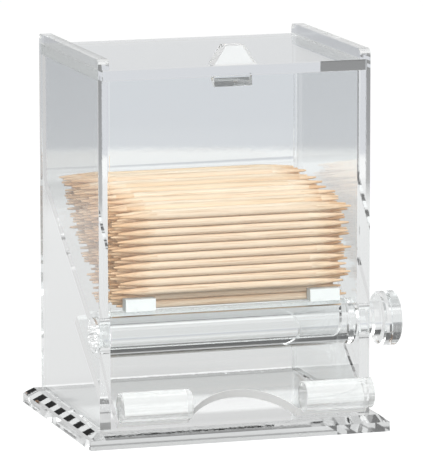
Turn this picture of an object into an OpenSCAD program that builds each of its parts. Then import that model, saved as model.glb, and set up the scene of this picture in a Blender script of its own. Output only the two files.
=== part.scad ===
// Clear acrylic toothpick dispenser.
// A slotted roller closes the hopper's throat. Each turn of its knob carries one toothpick
// round in the slot and drops it onto a sloping chute, where two short rods hold it.
// Origin: middle of the base's underside. +Z up, the front faces -Y, knob on +X.

/* [Case] */
// Outside width across the two side panels
case_w = 76.2; // [72:0.1:110]
// Depth of the side panels, front to back
case_d = 59; // [54:0.5:80]
// Height of the side panels' top edge above the table
case_top = 104.3; // [96:0.1:150]
// Thickness of the acrylic sheet
sheet_t = 3; // [2.6:0.1:3.6]
// Rounding of the side panels' upper corners
panel_corner_r = 1.6; // [0.5:0.1:3]

/* [Base] */
// Thickness of the base plate
base_t = 4.4; // [3.6:0.1:5]
// How far the base stands out past each side panel
base_side = 4.15; // [3.6:0.05:10]
// How far the base stands out in front of the case
base_front = 5.2; // [3.6:0.1:15]
// How far the base stands out behind the case
base_rear = 4.5; // [3.6:0.1:15]
// Width of the bevel round the base's top edge, seen from above
bevel_w = 2.4; // [1:0.1:3.5]
// Height of that bevel
bevel_h = 1.8; // [0.5:0.1:2.5]

/* [Lid] */
// Thickness of the sliding lid
lid_t = 2.8; // [2.4:0.1:3.2]
// Clearance over and under the lid in its grooves
lid_play = 0.1; // [0.08:0.01:0.2]
// Clearance between the lid's edge and the bottom of each groove
lid_side_play = 0.15; // [0.1:0.01:0.4]
// Depth of the grooves in the side panels' inner faces
groove_depth = 1.8; // [1.2:0.1:2]
// Height of panel left above the grooves
lip_h = 2.8; // [2:0.1:5]
// Width of the pull block where it meets the lid
pull_w = 12; // [8:0.5:20]
// Width of the pull block at its top
pull_top_w = 5.3; // [3:0.1:8]
// Height of the pull block
pull_h = 5.2; // [3:0.1:8]
// Front-to-back thickness of the pull block
pull_d = 5; // [3:0.1:8]
// Clearance between the front panel and the catch that stops the closed lid there
catch_gap = 0.1; // [0.1:0.05:0.4]
// Width of the catch under the lid
catch_w = 10.6; // [6:0.1:20]
// Height of the catch
catch_h = 3.2; // [2:0.1:5]
// Front-to-back thickness of the catch
catch_d = 3.2; // [2.2:0.1:6]
// Bevel along the catch's lower rear edge
catch_bevel = 2.1; // [0.5:0.1:2.1]

/* [Hopper] */
// Slope of the hopper floor and of the chute, in degrees
slope = 35; // [33:0.5:37]
// Recess of the back sheet from the side panels' rear edges
back_inset = 0.8; // [0.2:0.1:2]
// Inside radius of the bend between the back and the hopper floor
bend_r = 5; // [3.5:0.1:8]
// Gap between the hopper floor's front end and the roller
floor_gap = 0.4; // [0.3:0.05:1]
// Height of the floor's top surface over the roller's centre line
floor_rise = 1.65; // [1:0.05:2.5]
// Gap between the front panel's lower inner edge and the roller
front_gap = 0.6; // [0.3:0.05:1]
// Width of each guide block inside the front panel
guide_w = 8.4; // [5:0.1:12]
// Height of each guide block's underside over the front panel's lower edge
guide_rise = 1; // [0.9:0.1:2]
// Height of each guide block
guide_h = 3.3; // [2.4:0.1:5]
// Distance between each guide block and the side panel next to it
guide_inset = 4.9; // [2:0.1:12]

/* [Roller] */
// Diameter of the roller between the side panels
roller_d = 12.7; // [11:0.1:13]
// Diameter of its two thinner ends, which turn in the side panels
journal_d = 9.5; // [8:0.1:10]
// Distance of the roller's centre line behind the front face
roller_y = 7; // [6.8:0.1:8]
// Height of the roller's centre line above the table
roller_z = 29; // [28.8:0.1:34]
// Running clearance round each thin end in its side panel, on the radius
roller_play = 0.08; // [0.05:0.01:0.1]
// Clearance between each shoulder of the roller and the side panel beside it
shoulder_play = 0.4; // [0.3:0.05:0.8]
// Length of the slot that carries a toothpick
slot_l = 67; // [66:0.5:68]
// Width and depth of the slot
slot_w = 2.6; // [2.4:0.1:3]
// Direction the slot faces at rest: 0 is to the front, 90 is up into the hopper
slot_angle = 100; // [80:1:120]
// Diameter of the knob
knob_d = 15; // [12:0.5:20]
// Thickness of the knob
knob_t = 5; // [4:0.1:10]
// Bare shaft between the right side panel and the knob
knob_gap = 4.5; // [1:0.1:8]
// Chamfer round the knob's two rims
knob_chamfer = 0.5; // [0.2:0.1:1]

/* [Chute] */
// Height of the chute's surface over the table, in line with the front face
chute_z = 13.6; // [13:0.1:15]
// Distance of the chute's upper end behind the front face
chute_rear_y = 25; // [20:0.5:32]
// Distance of the chute's lower end in front of the front face
chute_front_y = 7.4; // [6:0.1:9]
// Radius of the finger notch in the chute's lower edge
notch_r = 18; // [16:0.5:20]
// Depth of the finger notch, along the slope
notch_depth = 8.4; // [4:0.1:10]
// Diameter of the two rods that stop the toothpick
rest_d = 8.2; // [6:0.1:9]
// Length of each rod
rest_l = 19.1; // [12:0.1:20]
// Distance from the chute's lower edge to the line where the rods sit on it
rest_inset = 0.5; // [0.3:0.1:2]

/* [Toothpicks] */
// Length of one toothpick
pick_l = 65; // [60:0.5:65]
// Diameter of one toothpick
pick_d = 2.1; // [1.8:0.05:2.2]
// Diameter of the blunted point
point_d = 0.5; // [0.3:0.1:0.8]
// Length of the tapered part at each end
taper_l = 10; // [6:0.5:14]
// Distance between the middles of two toothpicks that lie side by side
pick_pitch = 2.25; // [2.25:0.01:2.4]
// Height of the pile's top behind the front panel, above the table
pile_front_z = 61.5; // [50:0.5:66]
// Height of the pile's top at its rear, above the table
pile_rear_z = 67; // [55:0.5:67]
// Distance of the rearmost toothpicks from the front face
pile_rear_y = 48; // [30:0.5:50]
// Most that one toothpick is shifted along its length
pick_shift = 1.3; // [0:0.1:1.8]

/* [Hidden] */
$fn = 64;
overcut = 1;

clear_acrylic = [0.86, 0.9, 0.9, 0.45];
birch = [0.93, 0.78, 0.58];

// Case and base
inner_w = case_w - 2 * sheet_t;
base_w = case_w + 2 * base_side;
base_d = case_d + base_front + base_rear;
case_front = base_front - base_d / 2;

// Lid and its grooves, which run through from front to rear
groove_top = case_top - lip_h;
groove_bottom = groove_top - lid_t - 2 * lid_play;
lid_w = inner_w + 2 * (groove_depth - lid_side_play);
lid_z = groove_bottom + lid_play;

// Hopper: the front panel stands on nothing and hangs between the side panels
roller_r = roller_d / 2;
journal_r = journal_d / 2;
front_bottom = roller_z + sqrt(pow(roller_r + front_gap, 2) - pow(roller_y - sheet_t, 2));
back_rear = case_d - back_inset;
back_front = back_rear - sheet_t;

// Height of the hopper floor's top surface at a distance y behind the front face
function floor_z(y) = roller_z + floor_rise + (y - roller_y) * tan(slope);

// The floor's front end is square to the floor and keeps floor_gap from the roller
floor_end_y = roller_y - floor_rise * cos(slope) * sin(slope) + (roller_r + floor_gap) * cos(slope);

// Bend between the floor and the back: its centre lies in front of the back sheet
bend_y = back_front - bend_r;
bend_z = floor_z(bend_y) + bend_r / cos(slope);
bend_steps = 32;

// Roller: its thick part is the barrel
barrel_l = inner_w - 2 * shoulder_play;

// Chute
function chute_top(y) = chute_z + y * tan(slope);
chute_l = (chute_rear_y + chute_front_y) / cos(slope);
rest_r = rest_d / 2;
rest_x = inner_w / 2 - rest_l;

// Toothpicks lie in upright columns, each half a pitch higher or lower than the next
pick_r = pick_d / 2;
pick_gap = 0.08;
column_step = pick_pitch * sqrt(3) / 2;
column_y0 = sheet_t + pick_r + pick_gap;
columns = floor((pile_rear_y - column_y0) / column_step) + 1;
layer_z0 = roller_z + roller_r + pick_r + pick_gap;
guide_bottom = front_bottom + guide_rise;
guide_top = guide_bottom + guide_h;
guide_d = sheet_t;
guide_end = inner_w / 2 - guide_inset;

// Places in the case are measured from the front face's middle, at the table
module in_case() translate([0, case_front, 0]) children();

// A flat outline drawn in (y, z) and made thick along X, starting at x
module upright(x, thick)
    translate([x, 0, 0]) rotate([90, 0, 90]) linear_extrude(thick) children();

// A round bar or hole along X, starting at x
module along_x(x, length, r) translate([x, 0, 0]) rotate([0, 90, 0]) cylinder(h = length, r = r);

module base_plate()
    color(clear_acrylic)
    intersection_for (side = [0, 1])
        base_bar(side);

// The plate's outline across one direction, as long as the plate in the other
module base_bar(side) {
    w = side == 0 ? base_w : base_d;
    l = side == 0 ? base_d : base_w;
    rotate([90, 0, side * 90]) linear_extrude(l, center = true)
        polygon([[-w / 2, 0], [w / 2, 0], [w / 2, base_t - bevel_h], [w / 2 - bevel_w, base_t],
                 [-w / 2 + bevel_w, base_t], [-w / 2, base_t - bevel_h]]);
}

// Side panel's outline, with its two upper corners rounded
module panel_outline() {
    difference() {
        translate([0, base_t]) square([case_d, case_top - base_t]);
        for (side = [0, 1])
            translate([side * case_d, case_top]) mirror([side, 0]) difference() {
                translate([-overcut, -panel_corner_r])
                    square([panel_corner_r + overcut, panel_corner_r + overcut]);
                translate([panel_corner_r, -panel_corner_r]) circle(panel_corner_r);
            }
    }
}

// A side panel with its inner face at x = 0 and its outer face at x = sheet_t
module side_panel() {
    difference() {
        upright(0, sheet_t) panel_outline();
        translate([-overcut, -overcut, groove_bottom])
            cube([groove_depth + overcut, case_d + 2 * overcut, groove_top - groove_bottom]);
        translate([0, roller_y, roller_z])
            along_x(-overcut, sheet_t + 2 * overcut, journal_r + roller_play);
    }
}

module right_side_panel()
    color(clear_acrylic) in_case() translate([inner_w / 2, 0, 0]) side_panel();

module left_side_panel()
    color(clear_acrylic) mirror([1, 0, 0]) in_case() translate([inner_w / 2, 0, 0]) side_panel();

module front_panel()
    color(clear_acrylic) in_case()
    translate([-inner_w / 2, 0, front_bottom]) cube([inner_w, sheet_t, groove_bottom - front_bottom]);

// One of the flats that make up the bend, from the floor's end (0) to the upright back
function bend_point(r, step) = let (turn = (slope - 90) * (1 - step / bend_steps))
    [bend_y + r * cos(turn), bend_z + r * sin(turn)];

// One bent sheet: the upright back, the bend, and the floor that slopes down to the roller
module back_sheet() {
    floor_corner = [floor_end_y, floor_z(floor_end_y)];
    color(clear_acrylic) in_case() upright(-inner_w / 2, inner_w) polygon(concat(
        [floor_corner],
        [for (step = [0 : bend_steps]) bend_point(bend_r, step)],
        [[back_front, groove_bottom], [back_rear, groove_bottom]],
        [for (step = [bend_steps : -1 : 0]) bend_point(bend_r + sheet_t, step)],
        [floor_corner + sheet_t * [sin(slope), -cos(slope)]]));
}

// The chute's own axes: x across, y up the slope from its lower edge, z out of its surface
module on_chute()
    in_case() translate([0, -chute_front_y, chute_top(-chute_front_y)]) rotate([slope, 0, 0])
        children();

module chute_plate()
    color(clear_acrylic) on_chute() difference() {
        translate([-inner_w / 2, 0, -sheet_t]) cube([inner_w, chute_l, sheet_t]);
        translate([0, notch_depth - notch_r, -sheet_t - overcut])
            cylinder(h = sheet_t + 2 * overcut, r = notch_r);
    }

module rest_rod(side)
    color(clear_acrylic) on_chute() translate([0, rest_inset, rest_r])
        along_x(side > 0 ? rest_x : -rest_x - rest_l, rest_l, rest_r);

module rest_rod_left() rest_rod(-1);
module rest_rod_right() rest_rod(1);

// A block with its outer end at x = guide_end, or at the mirrored place on the left
module guide_block(side)
    color(clear_acrylic) in_case()
    translate([side > 0 ? guide_end - guide_w : -guide_end, sheet_t, guide_bottom])
        cube([guide_w, guide_d, guide_h]);

module guide_block_left() guide_block(-1);
module guide_block_right() guide_block(1);

module lid_plate()
    color(clear_acrylic) in_case()
    translate([-lid_w / 2, 0, lid_z]) cube([lid_w, case_d, lid_t]);

module lid_pull()
    color(clear_acrylic) in_case() translate([0, pull_d, lid_z + lid_t]) rotate([90, 0, 0])
        linear_extrude(pull_d)
            polygon([[-pull_w / 2, 0], [pull_w / 2, 0], [pull_top_w / 2, pull_h],
                     [-pull_top_w / 2, pull_h]]);

// The lid opens to the rear. Closed, this block under it rests against the front panel.
module lid_catch()
    color(clear_acrylic) in_case() translate([0, sheet_t + catch_gap, lid_z])
        upright(-catch_w / 2, catch_w)
            polygon([[0, 0], [0, -catch_h], [catch_d - catch_bevel, -catch_h],
                     [catch_d, catch_bevel - catch_h], [catch_d, 0]]);

// Places on the roller's centre line
module on_roller() in_case() translate([0, roller_y, roller_z]) children();

module roller()
    color(clear_acrylic) on_roller() difference() {
        union() {
            along_x(-case_w / 2, case_w + knob_gap, journal_r);
            along_x(-barrel_l / 2, barrel_l, roller_r);
        }
        rotate([-slot_angle, 0, 0]) translate([-slot_l / 2, -roller_r - overcut, -slot_w / 2])
            cube([slot_l, slot_w + overcut, slot_w]);
    }

module roller_knob()
    color(clear_acrylic) on_roller() translate([case_w / 2 + knob_gap, 0, 0]) rotate([0, 90, 0])
        rotate_extrude() polygon([
            [0, 0], [knob_d / 2 - knob_chamfer, 0], [knob_d / 2, knob_chamfer],
            [knob_d / 2, knob_t - knob_chamfer], [knob_d / 2 - knob_chamfer, knob_t], [0, knob_t]]);

// One round toothpick, pointed at both ends, along X and with its middle at x = 0
module toothpick() {
    shoulder = pick_l / 2 - taper_l;
    rotate([0, 90, 0]) rotate_extrude() polygon([
        [0, -pick_l / 2], [point_d / 2, -pick_l / 2], [pick_r * 0.72, -shoulder - taper_l / 2],
        [pick_r, -shoulder], [pick_r, shoulder], [pick_r * 0.72, shoulder + taper_l / 2],
        [point_d / 2, pick_l / 2], [0, pick_l / 2]]);
}

function column_y(column) = column_y0 + column * column_step;
function pick_z(layer, column) = layer_z0 + (layer + (column % 2) / 2) * pick_pitch;

// The pile's top rises to the rear and is a little uneven
function pile_top(y) = pile_front_z + (pile_rear_z - pile_front_z) * y / pile_rear_y
    + 0.7 * sin(y * 47);

// True where a toothpick has room: over the floor and the roller, clear of the guide
// blocks and under the top of the pile
function has_room(y, z) = let (room = pick_r + pick_gap)
    (z - floor_z(y)) * cos(slope) > room
    && norm([y - roller_y, z - roller_z]) > roller_r + room
    && (y > sheet_t + guide_d + room || z > guide_top + room)
    && z < pile_top(y);

// Each toothpick lies a little to the left or right of the middle
function shift_of(layer, column) = pick_shift * sin(layer * 137 + column * 211);

module toothpick_layer(layer)
    color(birch) in_case()
    for (column = [0 : columns - 1])
        let (y = column_y(column), z = pick_z(layer, column))
            if (has_room(y, z)) translate([shift_of(layer, column), y, z]) toothpick();

base_plate();
left_side_panel();
right_side_panel();
front_panel();
back_sheet();
chute_plate();
guide_block_left();
guide_block_right();
rest_rod_left();
rest_rod_right();
lid_plate();
lid_pull();
lid_catch();
roller();
roller_knob();
toothpick_layer(0);  // toothpick_layer_01
toothpick_layer(1);  // toothpick_layer_02
toothpick_layer(2);  // toothpick_layer_03
toothpick_layer(3);  // toothpick_layer_04
toothpick_layer(4);  // toothpick_layer_05
toothpick_layer(5);  // toothpick_layer_06
toothpick_layer(6);  // toothpick_layer_07
toothpick_layer(7);  // toothpick_layer_08
toothpick_layer(8);  // toothpick_layer_09
toothpick_layer(9);  // toothpick_layer_10
toothpick_layer(10);  // toothpick_layer_11
toothpick_layer(11);  // toothpick_layer_12
toothpick_layer(12);  // toothpick_layer_13
toothpick_layer(13);  // toothpick_layer_14
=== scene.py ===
"""Clear acrylic toothpick dispenser: materials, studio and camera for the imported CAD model.

Lengths are in metres, in the frame of the CAD model. Its nodes keep their shapes, and get their
materials here.
"""

import math

import bpy
from mathutils import Matrix, Vector


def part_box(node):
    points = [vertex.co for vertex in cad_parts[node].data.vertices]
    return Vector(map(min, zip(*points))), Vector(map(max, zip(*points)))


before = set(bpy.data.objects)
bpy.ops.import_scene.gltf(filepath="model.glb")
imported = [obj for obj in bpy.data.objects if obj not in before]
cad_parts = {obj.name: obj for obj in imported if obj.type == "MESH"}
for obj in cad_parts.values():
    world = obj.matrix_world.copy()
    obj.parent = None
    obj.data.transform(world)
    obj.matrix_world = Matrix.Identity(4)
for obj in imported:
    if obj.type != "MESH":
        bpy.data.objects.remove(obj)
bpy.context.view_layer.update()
scene = bpy.context.scene

# ---------------------------------------------------------------- node helpers


class Nodes:
    """Short calls for building the node tree of a material or the world."""

    def __init__(self, owner):
        owner.use_nodes = True
        self.tree = owner.node_tree
        self.tree.nodes.clear()

    def feed(self, socket, value):
        if isinstance(value, bpy.types.NodeSocket):
            self.tree.links.new(value, socket)
        elif value is not None:
            socket.default_value = value

    def add(self, kind, inputs=None, **settings):
        """A new node's outputs. inputs holds what goes into its sockets, by name or number."""
        node = self.tree.nodes.new("ShaderNode" + kind)
        for name, value in settings.items():
            setattr(node, name, value)
        for socket, value in (inputs or {}).items():
            self.feed(node.inputs[socket], value)
        return node.outputs

    def math(self, operation, a, b=None):
        return self.add("Math", {0: a, 1: b}, operation=operation)[0]

    def vector(self, operation, a, b=None):
        outputs = self.add("VectorMath", {0: a, 1: b}, operation=operation)
        return outputs["Value" if operation == "LENGTH" else "Vector"]

    def split(self, vector):
        return self.add("SeparateXYZ", {0: vector})

    def ramp(self, factor, stops):
        node = self.tree.nodes.new("ShaderNodeValToRGB")
        elements = node.color_ramp.elements
        while len(elements) < len(stops):
            elements.new(0.5)
        for element, (place, colour) in zip(elements, stops):
            element.position = place
            element.color = (*colour, 1)
        self.feed(node.inputs[0], factor)
        return node.outputs[0]

    def noise(self, vector, scale, detail, roughness=0.5):
        inputs = {"Vector": vector, "Scale": scale, "Detail": detail, "Roughness": roughness}
        return self.add("TexNoise", inputs)["Fac"]

    def bump(self, height, strength, distance):
        inputs = {"Height": height, "Strength": strength, "Distance": distance}
        return self.add("Bump", inputs)[0]

    def mix_shader(self, factor, a, b):
        return self.add("MixShader", {0: factor, 1: a, 2: b})[0]

    def mix_colour(self, factor, a, b, blend="MIX"):
        inputs = {0: factor, 6: a, 7: b}
        return self.add("Mix", inputs, data_type="RGBA", blend_type=blend)[2]

    def map_range(self, value, low, high, to_low=0.0, to_high=1.0):
        ends = {"From Min": low, "From Max": high, "To Min": to_low, "To Max": to_high}
        return self.add("MapRange", {"Value": value, **ends})["Result"]

    def product(self, *factors):
        total = factors[0]
        for factor in factors[1:]:
            total = self.math("MULTIPLY", total, factor)
        return total

    def either(self, *masks):
        total = masks[0]
        for mask in masks[1:]:
            total = self.math("MAXIMUM", total, mask)
        return total

    def distance(self, a, b):
        """The length of the flat vector (a, b)."""
        return self.math("SQRT", self.math("ADD", self.product(a, a), self.product(b, b)))

    def near(self, value, target, reach):
        """1 where value is less than reach from target, otherwise 0."""
        off = self.math("ABSOLUTE", self.math("SUBTRACT", value, target))
        return self.math("LESS_THAN", off, reach)

    def in_box(self, place, low, high):
        """1 inside the box from low to high, otherwise 0."""
        low, high = Vector(low), Vector(high)
        away = self.vector("ABSOLUTE", self.vector("SUBTRACT", place, tuple((low + high) / 2)))
        x, y, z = self.split(self.vector("SUBTRACT", tuple((high - low) / 2), away))
        least = self.math("MINIMUM", self.math("MINIMUM", x, y), z)
        return self.math("GREATER_THAN", least, 0.0)

    def between(self, value, low, high, soft):
        """1 from low to high, fading out over soft on both sides."""
        rise = self.map_range(value, low - soft, low)
        fall = self.map_range(value, high, high + soft, 1.0, 0.0)
        return self.product(rise, fall)

    def paint(self, colour, mask, value):
        """colour, with a grey of this screen value over it where mask is 1."""
        return self.mix_colour(mask, colour, (*grey(value), 1))


def new_material(name):
    material = bpy.data.materials.new(name)
    return material, Nodes(material)


def grey(value, tint=(1, 1, 1)):
    """A colour from its 0 to 255 screen value."""
    linear = (value / 255) ** 2.2
    return tuple(linear * t for t in tint)


# ---------------------------------------------------------------- measures of the case

SHEET = 0.003
SLOPE = math.radians(35)  # of the hopper floor and the chute
BEND_INNER, BEND_OUTER = 0.005, 0.008  # radii of the bend from the back into the hopper floor
FLOOR_OVER_AXIS = 0.00165  # the hopper floor's top surface passes over the roller's centre line
ROLLER_GAP = 0.0004  # between the roller and the hopper floor's lower end
JOURNAL_R = 0.00475  # the roller's thin ends
NOTCH_R, NOTCH_DEPTH = 0.018, 0.0084  # the finger notch in the chute's lower edge
TOUCH = 0.00006  # half the thickness of the zone that counts as a glued or sawn face


def turned(y, z):
    """A point of the (y, z) plane, measured along and square to the hopper floor and the chute."""
    cos, sin = math.cos(SLOPE), math.sin(SLOPE)
    return y * cos + z * sin, -y * sin + z * cos


front_low, front_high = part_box("front_panel")
CASE_FRONT, INNER_X = front_low.y, front_high.x
BASE_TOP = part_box("base_plate")[1].z

roller_low, roller_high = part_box("roller")
ROLLER_Y = (roller_low.y + roller_high.y) / 2
ROLLER_Z = (roller_low.z + roller_high.z) / 2
ROLLER_R = (roller_high.z - roller_low.z) / 2

back_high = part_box("back_sheet")[1]
BEND_Y = back_high.y - SHEET - BEND_INNER
BEND_Z = (
    ROLLER_Z
    + FLOOR_OVER_AXIS
    + (BEND_Y - ROLLER_Y) * math.tan(SLOPE)
    + BEND_INNER / math.cos(SLOPE)
)
FLOOR_START = turned(ROLLER_Y, ROLLER_Z)[0] + ROLLER_R + ROLLER_GAP

# the chute's highest corner, and its top surface carried on to the front panel's outer face
chute_low, chute_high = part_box("chute_plate")
CORNER_Y = chute_high.y - SHEET * math.sin(SLOPE)
CHUTE_Z = chute_high.z - (CORNER_Y - CASE_FRONT) * math.tan(SLOPE)
CHUTE_START = turned(chute_low.y, CHUTE_Z + (chute_low.y - CASE_FRONT) * math.tan(SLOPE))[0]
CHUTE_END = turned(CORNER_Y, chute_high.z)[0]

# ---------------------------------------------------------------- faces of the acrylic pieces


def sloped(n, place):
    """turned() for a shader's place, which keeps its x."""
    inputs = {"Vector": place, "Angle": -SLOPE}
    return n.add("VectorRotate", inputs, rotation_type="X_AXIS")[0]


def case_seams(n, place):
    """Where two glued pieces of the case touch, there is no air between them."""
    x, y, z = n.split(place)
    out = n.math("ABSOLUTE", x)
    side = n.add("CombineXYZ", {0: out, 1: y, 2: z})[0]
    slope_side = sloped(n, side)

    def on_wall(place, low, high):
        """In the inner face of a side panel, between two (y, z) corners."""
        return n.in_box(place, (INNER_X - TOUCH, *low), (INNER_X + TOUCH, *high))

    front = on_wall(
        side,
        (front_low.y - TOUCH, front_low.z - TOUCH),
        (front_high.y + TOUCH, front_high.z + TOUCH),
    )
    back = on_wall(
        side,
        (back_high.y - SHEET - TOUCH, BEND_Z),
        (back_high.y + TOUCH, back_high.z + TOUCH),
    )
    # the bend is a ring about its centre, between the back's lower end and the floor's rear end
    from_bend = n.vector("SUBTRACT", side, (0, BEND_Y, BEND_Z))
    _, off_y, off_z = n.split(from_bend)
    _, off_along, _ = n.split(sloped(n, from_bend))
    bend = n.product(
        n.near(n.distance(off_y, off_z), (BEND_INNER + BEND_OUTER) / 2, SHEET / 2 + TOUCH),
        n.math("GREATER_THAN", off_along, 0.0),
        n.math("LESS_THAN", off_z, 0.0),
        n.near(out, INNER_X, TOUCH),
    )
    along, above = turned(BEND_Y, BEND_Z)
    hopper_floor = on_wall(
        slope_side,
        (FLOOR_START - TOUCH, above - BEND_OUTER - TOUCH),
        (along, above - BEND_INNER + TOUCH),
    )
    # the side panels end at the front panel's outer face, and the chute goes on past them
    along, above = turned(CASE_FRONT, CHUTE_Z)
    chute = n.product(
        on_wall(
            slope_side,
            (along - SHEET, above - SHEET - TOUCH),
            (CHUTE_END + TOUCH, above + TOUCH),
        ),
        n.math("GREATER_THAN", y, CASE_FRONT),
    )
    foot_low, foot_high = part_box("right_side_panel")
    feet = n.in_box(
        side,
        (foot_low.x, foot_low.y, BASE_TOP - TOUCH),
        (foot_high.x, foot_high.y, BASE_TOP + TOUCH),
    )
    return n.either(front, back, bend, hopper_floor, chute, feet)


def lid_seams(n, place):
    """The pull stands on the lid, and the catch hangs under it."""
    low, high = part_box("lid_pull")
    pull = n.in_box(place, (low.x, low.y, low.z - TOUCH), (high.x, high.y, low.z + TOUCH))
    low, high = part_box("lid_catch")
    catch = n.in_box(place, (low.x, low.y, high.z - TOUCH), (high.x, high.y, high.z + TOUCH))
    return n.either(pull, catch)


def roller_seams(n, place):
    """The roller's right end is glued to the knob."""
    low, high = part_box("roller_knob")
    _, y, z = (low + high) / 2
    off_x, off_y, off_z = n.split(n.vector("SUBTRACT", place, (low.x, y, z)))
    disc = n.math("LESS_THAN", n.distance(off_y, off_z), JOURNAL_R + TOUCH)
    return n.product(disc, n.near(off_x, 0.0, TOUCH))


def chute_cuts(n, place):
    """The chute's lower edge and its finger notch keep their sawn faces."""
    x, along, _ = n.split(sloped(n, place))
    off = n.math("SUBTRACT", along, CHUTE_START + NOTCH_DEPTH - NOTCH_R)
    notch = n.near(n.distance(x, off), NOTCH_R, TOUCH)
    return n.either(notch, n.near(along, CHUTE_START, TOUCH))


# ---------------------------------------------------------------- acrylic

IOR = 1.49
SAW_SCALE = (5000.0, 300.0, 300.0)
CAUGHT = 13.0  # a ray deeper than this is caught between the faces of a piece
LAMP_SHADE = (0.93, 0.95, 0.95, 1)  # what a face lets through of the lamps' light


def frost(n, place):
    """A sawn, frosted acrylic surface."""
    teeth = n.noise(n.vector("MULTIPLY", place, SAW_SCALE), 1.0, 3)
    inputs = {
        "Base Color": (0.96, 0.96, 0.95, 1),
        "Transmission Weight": 0.3,
        "IOR": IOR,
        "Roughness": n.map_range(teeth, 0.3, 0.7, 0.45, 0.7),
        "Normal": n.bump(teeth, 0.4, 0.00005),
    }
    return n.add("BsdfPrincipled", inputs)[0]


def acrylic(name, seams, edge_light=0.0, haze=0.03, milk=0.0, cuts=None):
    """Clear sheet or rod. edge_light is the strength of a painted glow, an emission that stands in
    for light caught between its faces, haze its greatest roughness, and milk the share of a
    frosted surface in it."""
    material, n = new_material(name)
    place = n.add("TexCoord")["Object"]

    # polished, with hair-fine scratches and a little haze from handling
    inputs = {
        "Base Color": (0.965, 0.98, 0.98, 1),
        "Transmission Weight": 1,
        "IOR": IOR,
        "Roughness": n.map_range(n.noise(place, 60, 3), 0.45, 0.8, 0.0, haze),
        "Normal": n.bump(n.noise(place, 900, 3), 0.02, 0.0001),
    }
    surface = n.add("BsdfPrincipled", inputs)[0]
    if milk:
        surface = n.mix_shader(milk, surface, frost(n, place))
    if cuts:
        surface = n.mix_shader(cuts(n, place), surface, frost(n, place))
    surface = n.mix_shader(seams(n, place), surface, n.add("BsdfTransparent")[0])

    path = n.add("LightPath")
    # painted glow: a ray caught between the faces for more than CAUGHT bounces shows an emission
    # instead of going dark
    if edge_light:
        painted_glow = n.add("Emission", {"Strength": edge_light})[0]
        surface = n.mix_shader(n.math("GREATER_THAN", path["Ray Depth"], CAUGHT), surface, painted_glow)
    from_lamp = n.either(path["Is Shadow Ray"], path["Is Diffuse Ray"])
    through = n.add("BsdfTransparent", {"Color": LAMP_SHADE})[0]
    n.add("OutputMaterial", {"Surface": n.mix_shader(from_lamp, surface, through)})
    return material


def sawn_acrylic():
    """The little guide blocks are sawn on every side."""
    material, n = new_material("sawn_acrylic")
    n.add("OutputMaterial", {"Surface": frost(n, n.add("TexCoord")["Object"])})
    return material


# ---------------------------------------------------------------- birch toothpicks

GRAIN_SHIFT = 3.7  # from the first stick's place in the grain to the last one's
GRAIN_SCALE = (60.0, 2400.0, 2400.0)
FIBRE_SCALE = (140.0, 9000.0, 9000.0)
TIP_START, TIP_END = 0.0225, 0.031  # of a stick's taper, from its middle
STICK_TONES = [
    (0.0, (0.82, 0.61, 0.42)),
    (0.35, (0.90, 0.74, 0.57)),
    (0.7, (0.95, 0.83, 0.69)),
    (1.0, (0.87, 0.68, 0.51)),
]
# wood grain, whose dark streaks are made deep enough to be painted shade between the sticks as
# well
GRAIN_AND_GAP_SHADE_TONES = [(0.3, (0.66, 0.50, 0.37)), (0.5, (0.98, 0.95, 0.92)), (0.75, (1.0, 1.0, 1.0))]
PATCH_TONE = (0.80, 0.55, 0.33, 1)
TIP_TONE = (0.93, 0.74, 0.56, 1)


def birch():
    material, n = new_material("toothpick_birch")
    place = n.add("TexCoord")["Object"]
    island = n.add("NewGeometry")["Random Per Island"]

    # each stick has its own place in the grain
    shift = n.add("CombineXYZ", {0: n.math("MULTIPLY", island, GRAIN_SHIFT)})[0]
    moved = n.vector("ADD", place, shift)
    grain = n.noise(n.vector("MULTIPLY", moved, GRAIN_SCALE), 1.0, 4, 0.6)
    fibre = n.noise(n.vector("MULTIPLY", moved, FIBRE_SCALE), 1.0, 2)
    patch = n.map_range(n.noise(moved, 45, 2), 0.5, 0.75, 0.0, 0.35)

    # dark streaks of real wood grain, deepened into painted shade for the gaps between sticks
    grain_and_gap_shade = n.ramp(grain, GRAIN_AND_GAP_SHADE_TONES)
    colour = n.mix_colour(0.75, n.ramp(island, STICK_TONES), grain_and_gap_shade, "MULTIPLY")
    colour = n.mix_colour(patch, colour, PATCH_TONE)
    # the tapered ends show their open grain, which is darker and redder
    tip = n.map_range(n.math("ABSOLUTE", n.split(place)[0]), TIP_START, TIP_END, 0.0, 0.8)
    colour = n.mix_colour(tip, colour, TIP_TONE, "MULTIPLY")

    relief = n.math("ADD", grain, n.math("MULTIPLY", fibre, 0.5))
    inputs = {
        "Base Color": colour,
        "Roughness": n.map_range(grain, 0.3, 0.8, 0.5, 0.68),
        "Normal": n.bump(relief, 0.35, 0.00008),
    }
    n.add("OutputMaterial", {"Surface": n.add("BsdfPrincipled", inputs)[0]})
    return material


# ---------------------------------------------------------------- the CAD nodes' materials

# by how a node's name starts; the first line that fits counts, and the last one fits every name
MATERIALS = [
    ("toothpick", birch()),
    ("base_plate", acrylic("base_acrylic", case_seams)),
    ("chute_plate", acrylic("chute_acrylic", case_seams, 0.72, cuts=chute_cuts)),
    ("rest_rod", acrylic("rod_acrylic", case_seams, 0.8, haze=0.14, milk=0.22)),
    ("guide_block", sawn_acrylic()),
    ("lid_pull", acrylic("pull_acrylic", lid_seams, 0.9, milk=0.22)),
    ("lid", acrylic("lid_acrylic", lid_seams, 0.8)),
    ("roller", acrylic("roller_acrylic", roller_seams, 0.72)),
    ("", acrylic("case_acrylic", case_seams, 0.72)),
]

for name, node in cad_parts.items():
    material = next(material for start, material in MATERIALS if name.startswith(start))
    node.data.materials.clear()
    node.data.materials.append(material)

# ---------------------------------------------------------------- studio

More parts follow.
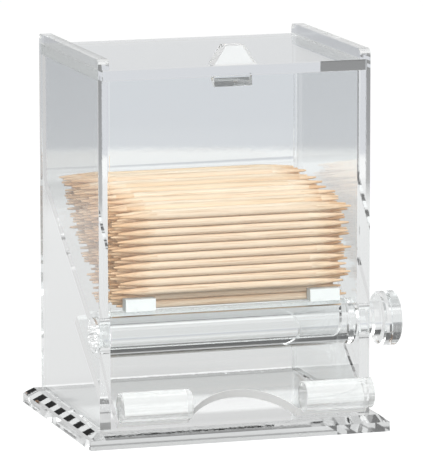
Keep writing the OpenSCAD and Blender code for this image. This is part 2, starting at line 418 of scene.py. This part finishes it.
# The object stands on a pale table in front of a grey backdrop. Headings are in degrees to the
# right of straight back, seen from the object.
LILAC = (0.97, 0.985, 1.03)
TABLE_EDGE = 0.49
BACKDROP = (-62, 36)
CARD = (-62, -7)  # a dark card stands behind the object on the left
CARD_FOOT = 0.36
CARD_TOP = (26, 22)  # it fades out between these elevations
SOFTBOX = (-48, 18)  # in front, as headings to the right of straight in front
SOFTBOX_HEIGHT = (0.4, 0.88)  # heights here are the z of a unit vector
OVERHEAD_GAP = (85, 130)
OVERHEAD_HEIGHT = (0.9, 0.93)

# painted light and shade on the table: a band of painted light for the light that the roller
# gathers, and a painted light line and a painted shadow line at the base's rear edge
ROLLER_PAINTED_LIGHT = (-0.0088, 0.0045)
ROLLER_PAINTED_LIGHT_END = (0.04, 0.028)
REAR_PAINTED_LIGHT_AND_SHADOW = [((0.0475, 0.0555), 262), ((0.032, 0.0365), 150)]  # one bright, one dark
REAR_PAINTED_LIGHT_AND_SHADOW_END = (0.05, 0.045)

PLAIN = (0.3, 0.3, 0.3, 1)  # the floor and the world, for the light that they throw
FLOOR_WHITE = 0.85  # with what the lamps add to it, the floor is white for the camera
FLOOR_REACH = 12.0
FLOOR_DROP = 0.0002  # keeps the floor clear of the base's underside


def heading(n, x, y):
    return n.math("DEGREES", n.math("ARCTAN2", x, y))


def studio_floor():
    material, n = new_material("studio_floor")
    place = n.add("NewGeometry")["Position"]
    x, y, _ = n.split(place)
    out = n.math("ABSOLUTE", x)
    radius = n.vector("LENGTH", n.vector("MULTIPLY", place, (1, 1, 0)))
    # seen through the acrylic: the table, darkened under the base by a painted shadow, and the
    # backdrop beyond its edge
    ground = n.ramp(
        radius,
        [
            # painted shadow: the table is darker under the base
            (0.0, grey(212)),
            (0.045, grey(214)),
            (0.07, grey(229)),
            (0.3, grey(233)),
            (TABLE_EDGE - 0.06, grey(240)),
            (TABLE_EDGE - 0.045, grey(253)),
            (TABLE_EDGE - 0.005, grey(253)),
            (TABLE_EDGE + 0.012, grey(219, LILAC)),
            (1.0, grey(219, LILAC)),
        ],
    )
    # a soft band of painted light under the roller, a painted light line behind the base's rear
    # edge and a painted shadow line under it
    painted_light_band = n.product(n.map_range(out, *ROLLER_PAINTED_LIGHT_END), n.between(y, *ROLLER_PAINTED_LIGHT, 0.0045))
    ground = n.paint(ground, painted_light_band, 278)
    for (low, high), value in REAR_PAINTED_LIGHT_AND_SHADOW:
        painted_line = n.product(n.map_range(out, *REAR_PAINTED_LIGHT_AND_SHADOW_END), n.between(y, low, high, 0.001))
        ground = n.paint(ground, painted_line, value)
    # the table is painted lighter in front of the base
    front = n.product(n.map_range(y, -0.02, -0.03), n.map_range(radius, 0.2, 0.1))
    ground = n.paint(ground, front, 240)
    card = n.ramp(
        radius,
        [
            (CARD_FOOT, (0, 0, 0)),
            (CARD_FOOT + 0.05, (0.7, 0.7, 0.7)),
            (0.5, (0.8, 0.8, 0.8)),
            (0.8, (1, 1, 1)),
        ],
    )
    card = n.product(n.between(heading(n, x, y), *CARD, 4.0), card)
    ground = n.paint(ground, card, 137)

    through = n.add("Emission", {"Color": ground})[0]
    plain = n.add("BsdfDiffuse", {"Color": PLAIN})[0]
    white = n.add("Emission", {"Strength": FLOOR_WHITE})[0]
    path = n.add("LightPath")
    glassy = n.either(path["Is Glossy Ray"], path["Is Transmission Ray"])
    surface = n.mix_shader(glassy, plain, through)
    seen = n.add("AddShader", {0: white, 1: plain})[0]
    n.add("OutputMaterial", {"Surface": n.mix_shader(path["Is Camera Ray"], surface, seen)})
    return material


def add_floor():
    reach = FLOOR_REACH
    corners = [(-reach, -reach, 0), (reach, -reach, 0), (reach, reach, 0), (-reach, reach, 0)]
    mesh = bpy.data.meshes.new("studio_floor")
    mesh.from_pydata(corners, [], [(0, 1, 2, 3)])
    mesh.materials.append(studio_floor())
    studio = bpy.data.objects.new("studio_floor", mesh)
    studio.location.z = -FLOOR_DROP
    scene.collection.objects.link(studio)


def height_at(elevation):
    return math.sin(math.radians(elevation))


def add_world():
    """What the acrylic shows of the studio. The camera itself sees white."""
    scene.world = bpy.data.worlds.new("studio")
    n = Nodes(scene.world)
    x, y, height = n.split(n.add("TexCoord")["Generated"])
    angle = heading(n, x, y)

    def by_elevation(stops):
        stops = [((height_at(elevation) + 1) / 2, colour) for elevation, colour in stops]
        return n.ramp(n.map_range(height, -1, 1), stops)

    behind = by_elevation(
        [
            (-4, grey(219, LILAC)),
            (0, grey(228)),
            (4, grey(246)),
            (7, grey(228)),
            (9.5, grey(216)),
            (12.3, grey(212)),
            (13, grey(84)),
            (30, grey(84)),
            (34, grey(195)),
            (50, grey(195)),
            (58, grey(262)),
            (86, grey(262)),
        ]
    )
    sides = by_elevation(
        [
            (-4, grey(219)),
            (4, grey(219)),
            (10, grey(250)),
            (40, grey(255)),
            (50, grey(150)),
            (58, grey(262)),
            (86, grey(262)),
        ]
    )
    sky = n.mix_colour(n.between(angle, *BACKDROP, 8), sides, behind)
    below_top = n.map_range(height, *(height_at(elevation) for elevation in CARD_TOP))
    sky = n.paint(sky, n.product(n.between(angle, *CARD, 4.0), below_top), 108)
    # the softbox is seen as the bright line along the roller
    from_front = heading(n, n.math("MULTIPLY", x, -1.0), n.math("MULTIPLY", y, -1.0))
    softbox = n.product(
        n.between(from_front, *SOFTBOX, 4.0), n.between(height, *SOFTBOX_HEIGHT, 0.05)
    )
    sky = n.paint(sky, softbox, 405)
    gap = n.product(n.between(angle, *OVERHEAD_GAP, 4.0), n.map_range(height, *OVERHEAD_HEIGHT))
    sky = n.paint(sky, gap, 110)

    through = n.add("Background", {"Color": sky})[0]
    plain = n.add("Background", {"Color": PLAIN})[0]
    white = n.add("Background", {"Color": (1, 1, 1, 1)})[0]
    path = n.add("LightPath")
    surface = n.mix_shader(path["Is Diffuse Ray"], through, plain)
    n.add("OutputWorld", {"Surface": n.mix_shader(path["Is Camera Ray"], surface, white)})


def add_lamp(name, place, size, watts):
    """A soft lamp that shines on the object's middle and isn't seen itself."""
    light = bpy.data.lights.new(name, "AREA")
    light.shape = "RECTANGLE"
    light.size, light.size_y = size
    light.energy = watts
    lamp = bpy.data.objects.new(name, light)
    lamp.location = place
    aim = Vector((0, 0, 0.05)) - Vector(place)
    lamp.rotation_euler = aim.to_track_quat("-Z", "Y").to_euler()
    scene.collection.objects.link(lamp)
    for rays in ("visible_camera", "visible_glossy", "visible_transmission"):
        setattr(lamp, rays, False)


add_floor()
add_world()
add_lamp("key_softbox", (-0.35, -0.8, 1.0), (0.8, 0.8), 11)
add_lamp("front_fill", (-0.15, -1.2, 0.42), (0.7, 0.5), 8.5)

# ---------------------------------------------------------------- camera

CAMERA_PLACE = (-0.39371, -1.27123, 0.27713)
YAW, PITCH, ROLL = math.radians(17.303), math.radians(9.668), math.radians(-0.09)
SENSOR_MM, LENS_MM = 36, 375.8

forward = Vector(
    (math.sin(YAW) * math.cos(PITCH), math.cos(YAW) * math.cos(PITCH), -math.sin(PITCH))
)
right = Vector((math.cos(YAW), -math.sin(YAW), 0))
up = right.cross(forward)
right, up = (
    right * math.cos(ROLL) + up * math.sin(ROLL),
    up * math.cos(ROLL) - right * math.sin(ROLL),
)
camera_data = bpy.data.cameras.new("camera")
camera_data.sensor_width = SENSOR_MM
camera_data.lens = LENS_MM
camera_data.clip_start, camera_data.clip_end = 0.05, 60
camera = bpy.data.objects.new("camera", camera_data)
scene.collection.objects.link(camera)
facing = Matrix((right, up, -forward)).transposed().to_4x4()
camera.matrix_world = Matrix.Translation(CAMERA_PLACE) @ facing
scene.camera = camera

# light passes many clear faces before it leaves the case
scene.view_settings.view_transform = "Standard"
scene.cycles.max_bounces = 32
scene.cycles.transmission_bounces = 32
scene.cycles.glossy_bounces = 16
scene.cycles.diffuse_bounces = 4
scene.cycles.transparent_max_bounces = 64
scene.cycles.caustics_reflective = True
scene.cycles.caustics_refractive = True
scene.cycles.use_denoising = True
